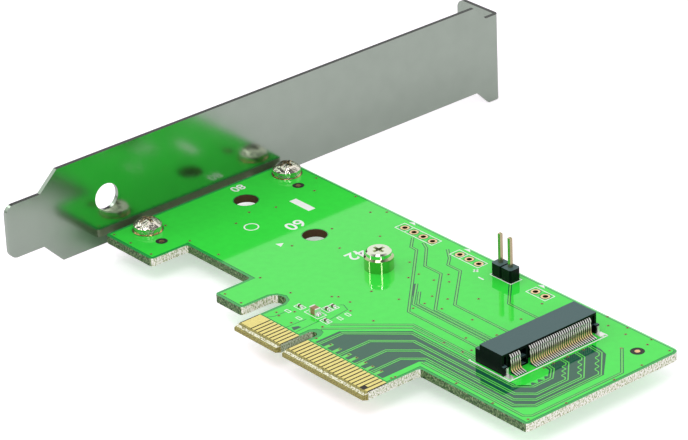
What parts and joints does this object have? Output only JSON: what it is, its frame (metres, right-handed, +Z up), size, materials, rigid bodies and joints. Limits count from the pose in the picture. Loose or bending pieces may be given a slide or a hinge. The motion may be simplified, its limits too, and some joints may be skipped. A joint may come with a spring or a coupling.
{
  "type": "nvme adapter card",
  "caption": "Card-edge adapter that carries one M.2 solid-state drive: green circuit board with a drive socket, a stud for the drive and a full-height slot bracket.",
  "frame": {"origin": "on the board's component face, on the middle line of the key notch, at the front edge of the contact tongue", "axes": "+X along the card away from the bracket, +Y from the edge contacts to the back edge, +Z up from the component face"},
  "size_m": [0.1171, 0.12, 0.0215],
  "materials": {
    "laminate": "glossy green lacquer over glass-fibre laminate",
    "gold_plating": "gold plated",
    "bracket_steel": "satin rolled sheet",
    "screw_steel": "bright plated",
    "bare_copper": "bare copper",
    "black_moulding": "fine moulded",
    "contact_metal": "gold flash",
    "tinned_metal": "tinned",
    "ceramic": "fired ceramic"
  },
  "bodies": {
    "root": {"circuit_board": "laminate", "edge_contacts_top": "gold_plating", "edge_contacts_bottom": "gold_plating", "bracket": "bracket_steel", "bracket_screw_near": "screw_steel", "bracket_screw_far": "screw_steel", "screw_ring_near": "bare_copper", "screw_ring_far": "bare_copper", "drive_post": "screw_steel", "drive_screw": "screw_steel", "post_base_screw": "screw_steel", "socket_housing": "black_moulding", "socket_contacts_rear": "contact_metal", "socket_contacts_front": "contact_metal", "socket_foot_near": "tinned_metal", "socket_foot_far": "tinned_metal", "header_block": "black_moulding", "header_pin_1": "gold_plating", "header_pin_2": "gold_plating", "plated_holes_four": "gold_plating", "plated_holes_three": "gold_plating", "plated_holes_two": "gold_plating", "plated_holes_header": "tinned_metal", "bulk_capacitor": "ceramic", "bulk_capacitor_ends": "tinned_metal", "capacitor_one": "ceramic", "capacitor_one_ends": "tinned_metal", "capacitor_two": "ceramic", "capacitor_two_ends": "tinned_metal", "capacitor_three": "ceramic", "capacitor_three_ends": "tinned_metal", "capacitor_four": "ceramic", "capacitor_four_ends": "tinned_metal", "alignment_dots": "bare_copper"}
  },
  "joints": []
}
